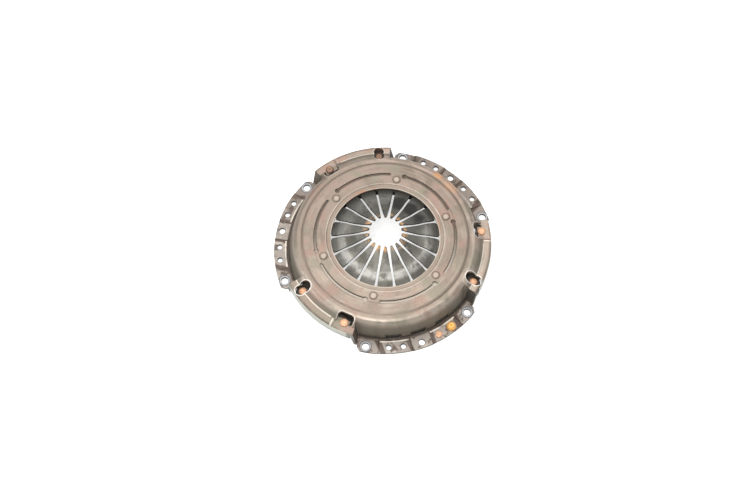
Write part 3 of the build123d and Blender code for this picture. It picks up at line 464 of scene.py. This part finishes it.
def spring_finish():
    """Smooth spring steel, olive grey, with worn tips and a film of rust beside them."""
    steel = Finish("spring_steel")
    radius = steel.radius()
    cloud = steel.noise(45.0, 4.0, 0.6)
    smear = steel.noise(90.0, 5.0, 0.65)
    lines = steel.lathe_lines(900.0)
    film = steel.mix(cloud.ramp(0.35, 0.65), SPRING_GREY, SPRING_PALE)
    film = steel.mix(smear.ramp(0.46, 0.62) * 0.6, film, (0.12, 0.112, 0.092))
    film = steel.mix(lines.ramp(0.45, 0.8) * 0.25, film, SPRING_PALE)
    # Painted highlight: a pale ring across the fingers, strongest on the camera's side
    highlight_ring = radius.ramp(0.0470, 0.0520) * radius.ramp(0.0610, 0.0565) * smear.ramp(0.3, 0.6)
    close = steel.away().ramp(0.02, -0.04)
    film = steel.mix(highlight_ring * (0.12 + 0.5 * close), film, (0.62, 0.60, 0.56))
    patchy = steel.noise(60.0, 3.0, 0.6, at=steel.vector(steel.x + 0.2, steel.y, steel.z))
    film = steel.mix(patchy.ramp(0.5, 0.62) * 0.55, film, (0.085, 0.082, 0.068))
    # Painted reflection: dark patches on the fingers opposite the balance rivets' flange, where
    # something dark is mirrored
    dark_reflection = None
    spots = (
        ((-0.0345, 0.0318, 0.042), 0.007),
        ((-0.0246, 0.0411, 0.042), 0.006),
        ((-0.008, 0.0478, 0.042), 0.003),
    )
    for point, reach in spots:
        spot = steel.near(point, reach, 0.010, (cloud - 0.5) * 0.016)
        dark_reflection = spot if dark_reflection is None else dark_reflection.high(spot)
    # Painted shade: the fingers are darker on the far side and under the cover's lip
    rear = steel.away().ramp(-0.01, 0.03)
    film = steel.mix(rear * (0.35 + 0.5 * smear) * 0.7, film, (0.10, 0.098, 0.088))
    under_lip = radius.ramp(0.0560, 0.0650)
    film = steel.mix(under_lip * (0.3 + 0.5 * rear), film, (0.05, 0.048, 0.042))
    film = steel.mix(dark_reflection * 0.95, film, REFLECTED_DARK)
    tips = radius.ramp(0.030, 0.0225) * steel.noise(150.0, 4.0, 0.7).ramp(0.46, 0.6)
    film = steel.mix(tips * 0.75, film, (0.80, 0.45, 0.20))
    ends = radius.ramp(0.0214, 0.0206)
    film = steel.mix(ends * 0.85, film, UMBER)
    # Painted shade on the steep side walls of the slots
    walls = abs(steel.upward()).ramp(0.45, 0.25)
    film = steel.mix(walls * 0.75, film, (0.06, 0.055, 0.05))
    steel.relief(lines * 0.6 + smear * 0.4, 0.00010, 0.35, 0.0006)
    dull = 0.36 + 0.2 * smear + 0.2 * tips + 0.12 * patchy + 0.35 * dark_reflection
    return steel.finish(film, dull, 0.72 - 0.5 * tips - 0.72 * dark_reflection, Specular_IOR_Level=0.15)


def rivet_finish(name, centres, face, tone, ring, dull=None):
    """Rivet steel with an orange film and the mark of the setting tool round its middle."""
    steel = Finish(name)
    speck = steel.noise(900.0, 3.0, 0.6)
    cloud = steel.noise(300.0, 3.0, 0.6)
    film = steel.mix(cloud.ramp(0.35, 0.7), tone, tuple(0.75 * part for part in tone))
    # Painted shade: given a shaded colour, the rivets on the far side take it
    if dull:
        far_side = steel.away().ramp(0.02, 0.085)
        film = steel.mix(far_side * 0.95, film, dull)
    mark = None
    for centre in centres:
        band = abs(steel.from_axis(centre) - ring).ramp(0.0008, 0.0003)
        mark = band if mark is None else mark.high(band)
    mark = mark * steel.z.ramp(face, face + 0.0004)
    film = steel.mix(mark * 0.5, film, RUST)
    steel.relief(speck * 0.5 - mark, 0.0003, 0.6)
    return steel.finish(film, 0.42 + 0.2 * speck, 0.45)


def plain_steel(name, dark, pale, metallic, roughness):
    """Bare rolled, drawn or cast metal with grain and stains."""
    steel = Finish(name)
    cloud = steel.noise(60.0, 4.0, 0.6)
    grain = steel.noise(500.0, 3.0, 0.6)
    film = steel.mix(cloud.ramp(0.35, 0.65), dark, pale)
    film = steel.mix(grain.ramp(0.55, 0.75) * 0.4, film, UMBER)
    steel.relief(grain, 0.0002, 0.5, 0.0005)
    return steel.finish(film, roughness + 0.2 * grain, metallic)


def plate_finish():
    """Dark cast iron with a grainy skin; the friction face is ground bright and scored round."""
    iron = Finish("plate_iron")
    radius = iron.radius()
    cloud = iron.noise(50.0, 4.0, 0.6)
    skin = iron.noise(650.0, 4.0, 0.65)
    lines = iron.lathe_lines(1500.0)
    film = iron.mix(cloud.ramp(0.35, 0.65), tuple(0.6 * part for part in IRON), (0.11, 0.095, 0.08))
    film = iron.mix(skin.ramp(0.55, 0.7) * 0.4, film, UMBER)
    face = iron.upward().ramp(-0.9, -0.98) * iron.z.ramp(0.0052, 0.0048)
    worn = iron.mix(lines.ramp(0.35, 0.7), (0.26, 0.25, 0.235), GROUND)
    worn = iron.mix(abs(radius - 0.094).ramp(0.005, 0.001) * cloud * 0.6, worn, (0.17, 0.15, 0.17))
    film = iron.mix(face, film, worn)
    edge = iron.edges(0.0008)
    film = iron.mix(edge * 0.3, film, (0.35, 0.32, 0.29))
    iron.relief(skin * (1.0 - face) + lines * face * 0.4, 0.00035, 0.6, 0.0006)
    return iron.finish(film, 0.55 - 0.22 * face + 0.15 * skin, 0.55 + 0.35 * face)


def dress(name, material):
    piece = bpy.data.objects[name]
    piece.data.materials.clear()
    piece.data.materials.append(material)


def copy_of(node, name, material):
    """A merged, smooth-shaded copy of a node, with its material given and the node hidden."""
    bpy.ops.object.select_all(action="DESELECT")
    source = bpy.data.objects[node]
    piece = bpy.data.objects.new(name, source.data.copy())
    bpy.context.collection.objects.link(piece)
    piece.select_set(True)
    bpy.context.view_layer.objects.active = piece
    bpy.ops.object.mode_set(mode="EDIT")
    bpy.ops.mesh.select_all(action="SELECT")
    bpy.ops.mesh.remove_doubles(threshold=0.00001)
    bpy.ops.object.mode_set(mode="OBJECT")
    bpy.ops.object.shade_smooth_by_angle(angle=SMOOTH_ANGLE)
    piece.data.materials.clear()
    piece.data.materials.append(material)
    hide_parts(node)
    piece.select_set(False)
    return piece


def ledge_points(offset):
    return [polar(STRAP_R, LEDGE_AT + 120 * k + offset) for k in range(SEGMENTS)]


def share(value, start, end):
    """0 at start, 1 at end, and held outside them."""
    return max(0.0, min(1.0, (value - start) / (end - start)))


def open_slots(piece):
    """Bring the fingers to the photograph's, with tips further out and slots wider towards them."""
    finger = 2 * math.pi / FINGERS
    for point in piece.data.vertices:
        place = point.co
        r = math.hypot(place.x, place.y)
        angle = math.atan2(place.y, place.x)
        middle = round(angle / finger) * finger
        # Half the width of a slot in mm, in the solid and as it is opened
        old = 1.0 + 1.3 * share(r / MM, 50.0, 69.0)
        new = 1.4 + 0.7 * share(r / MM, 36.0, 20.0)
        new = new + (old - new) * share(r / MM, 60.0, 65.0)
        half = r * math.tan(finger / 2)
        squeeze = (half - new * MM) / (half - old * MM) if r < 66.0 * MM else 1.0
        turned = middle + math.atan(math.tan(angle - middle) * squeeze)
        # The tips go from 18.2 to 20.2 mm, and the last of each finger inside 24 mm with them
        r = r + max(0.0, 24.0 * MM - r) * (2.0 / 5.8)
        place.x = r * math.cos(turned)
        place.y = r * math.sin(turned)


def ledge_lips(material):
    """The edge of each raised ledge, drawn further down than on the cover's CAD piece."""
    mesh = bmesh.new()
    for segment in range(SEGMENTS):
        first = LEDGE_AT + 120 * segment - LIP_HALF_ANGLE
        rings = []
        for step in range(LIP_STEPS + 1):
            angle = first + 2 * LIP_HALF_ANGLE * step / LIP_STEPS
            rings.append([mesh.verts.new(polar(r * MM, angle, z * MM)) for r, z in LIP_PROFILE])
        for near, far in zip(rings, rings[1:]):
            for corner in range(4):
                after = (corner + 1) % 4
                mesh.faces.new((near[corner], near[after], far[after], far[corner]))
        mesh.faces.new(rings[0][::-1])
        mesh.faces.new(rings[-1])
    bmesh.ops.recalc_face_normals(mesh, faces=mesh.faces)
    data = bpy.data.meshes.new("ledge_lips")
    mesh.to_mesh(data)
    mesh.free()
    piece = bpy.data.objects.new("ledge_lips", data)
    bpy.context.collection.objects.link(piece)
    bpy.ops.object.select_all(action="DESELECT")
    piece.select_set(True)
    bpy.context.view_layer.objects.active = piece
    bpy.ops.object.shade_smooth_by_angle(angle=SMOOTH_ANGLE)
    bevel = piece.modifiers.new("rounded", "BEVEL")
    bevel.width = LIP_BEVEL
    bevel.segments = 2
    bevel.limit_method = "ANGLE"
    bpy.ops.object.modifier_apply(modifier="rounded")
    data.materials.append(material)
    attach(piece, "cover")
    piece.select_set(False)


cover_steel = cover_finish()
dress("cover", cover_steel)
for number in range(SPACERS):
    dress(f"spacer_rivet_{number + 1}", cover_steel)
dress("pivot_ring", plain_steel("wire_steel", (0.30, 0.29, 0.27), (0.45, 0.44, 0.42), 0.9, 0.3))
dress("pressure_plate", plate_finish())
strap_rivet_steel = rivet_finish(
    "strap_rivet_steel",
    ledge_points(STRAP_HALF_ANGLE) + ledge_points(-STRAP_HALF_ANGLE),
    0.0224,
    PEACH,
    0.0026,
    PEACH_SHADED,
)
for number in range(SEGMENTS):
    dress(f"cover_strap_rivet_{number + 1}", strap_rivet_steel)
    dress(f"plate_strap_rivet_{number + 1}", strap_rivet_steel)
low_place = polar(BOLT_R, LOW_RIVET_ANGLE)
tall_place = polar(BOLT_R, TALL_RIVET_ANGLE)
low_steel = rivet_finish("low_rivet_steel", [low_place], 0.0062, PEACH, 0.0022)
tall_steel = rivet_finish("tall_rivet_steel", [tall_place], 0.0098, ORANGE, 0.0034)
dress("balance_rivet_low", low_steel)
dress("balance_rivet_tall", tall_steel)

# The spring: a smooth copy with its slots opened, carried by the cover. On the clutch it flattens
# as the plate rises, because its tips go down while its rim goes up
spring = copy_of("diaphragm_spring", "spring_fingers", spring_finish())
open_slots(spring)
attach(spring, "cover")
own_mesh(spring)

ledge_lips(cover_steel)

# Strap leaves: smooth copies with their placement baked in. On the clutch they bend between the
# rivet on the cover and the rivet on the plate
strap_steel = plain_steel("strap_steel", (0.055, 0.045, 0.036), (0.12, 0.10, 0.085), 0.6, 0.4)
for strap in range(SEGMENTS):
    for leaf in range(LEAVES):
        node = f"strap_{strap + 1}_leaf_{leaf + 1}"
        piece = copy_of(node, f"strap_{strap + 1}_blade_{leaf + 1}", strap_steel)
        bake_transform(piece)

# Floor: white to the camera through a glow on camera rays, plain pale diffuse elsewhere, with the
# object's soft shadow
bpy.ops.object.select_all(action="DESELECT")
bpy.ops.mesh.primitive_plane_add(size=8.0, location=(0, 0, -0.0002))
floor = bpy.context.active_object
floor.name = "floor"
pale = Finish("floor_white")
pale.finish((0.80, 0.81, 0.80), 0.9, 0.0, Emission_Strength=0.0)
glow = pale.add("ShaderNodeEmission", {}, {"Color": (1.0, 1.0, 0.995), "Strength": 0.62})
seen = pale.add("ShaderNodeLightPath", output="Is Camera Ray")
shown = pale.tree.nodes.new("ShaderNodeAddShader")
chosen = pale.tree.nodes.new("ShaderNodeMixShader")
pale.tree.links.new(glow.socket, shown.inputs[0])
pale.tree.links.new(pale.surface.outputs[0], shown.inputs[1])
pale.tree.links.new(seen.socket, chosen.inputs[0])
pale.tree.links.new(pale.surface.outputs[0], chosen.inputs[1])
pale.tree.links.new(shown.outputs[0], chosen.inputs[2])
end = next(node for node in pale.tree.nodes if node.type == "OUTPUT_MATERIAL")
pale.tree.links.new(chosen.outputs[0], end.inputs["Surface"])
floor.data.materials.append(pale.material)

# World: an even pale room
world = bpy.data.worlds.new("room")
bpy.context.scene.world = world
world.use_nodes = True
world.node_tree.nodes["Background"].inputs["Color"].default_value = (0.93, 0.96, 1.0, 1.0)
world.node_tree.nodes["Background"].inputs["Strength"].default_value = 0.55


def softbox(name, place, aim, size, power, colour):
    light = bpy.data.lights.new(name, "AREA")
    light.shape = "DISK"
    light.size = size
    light.energy = power
    light.color = colour
    lamp = bpy.data.objects.new(name, light)
    towards = (Vector(aim) - Vector(place)).to_track_quat("-Z", "Y")
    lamp.matrix_world = Matrix.Translation(place) @ towards.to_matrix().to_4x4()
    bpy.context.collection.objects.link(lamp)


def from_camera_side(x, y, z):
    """A place given as seen from the camera: x to the right, y away from it."""
    turn = math.radians(HEADING)
    ahead = x * math.sin(turn) + y * math.cos(turn)
    return Vector((x * math.cos(turn) - y * math.sin(turn), ahead, z))


softbox("window", from_camera_side(-0.15, -0.72, 1.6), (0, 0, 0), 0.9, 12.0, (1.0, 0.97, 0.94))
softbox("beyond", from_camera_side(0.0, 0.55, 1.4), (0, 0, 0), 1.2, 12.0, (1.0, 0.98, 0.96))
softbox("left", from_camera_side(-1.3, -0.3, 0.9), (0, 0, 0.02), 0.8, 6.0, (0.95, 0.97, 1.0))

# Camera
bpy.context.view_layer.update()
target = from_camera_side(-0.012356, -0.019537, 0.0414)
lens = bpy.data.cameras.new("camera")
lens.lens = LENS
lens.sensor_width = 36.0
camera = bpy.data.objects.new("camera", lens)
bpy.context.collection.objects.link(camera)
right = from_camera_side(1, 0, 0)
up = from_camera_side(0, math.sin(math.radians(TILT)), math.cos(math.radians(TILT)))
back = right.cross(up)
roll = math.radians(ROLL)
tilted_right = right * math.cos(roll) + up * math.sin(roll)
tilted_up = up * math.cos(roll) - right * math.sin(roll)
facing = Matrix((tilted_right, tilted_up, back)).transposed().to_4x4()
camera.matrix_world = Matrix.Translation(target + back * DISTANCE) @ facing
bpy.context.scene.camera = camera
bpy.context.scene.view_settings.view_transform = "Standard"
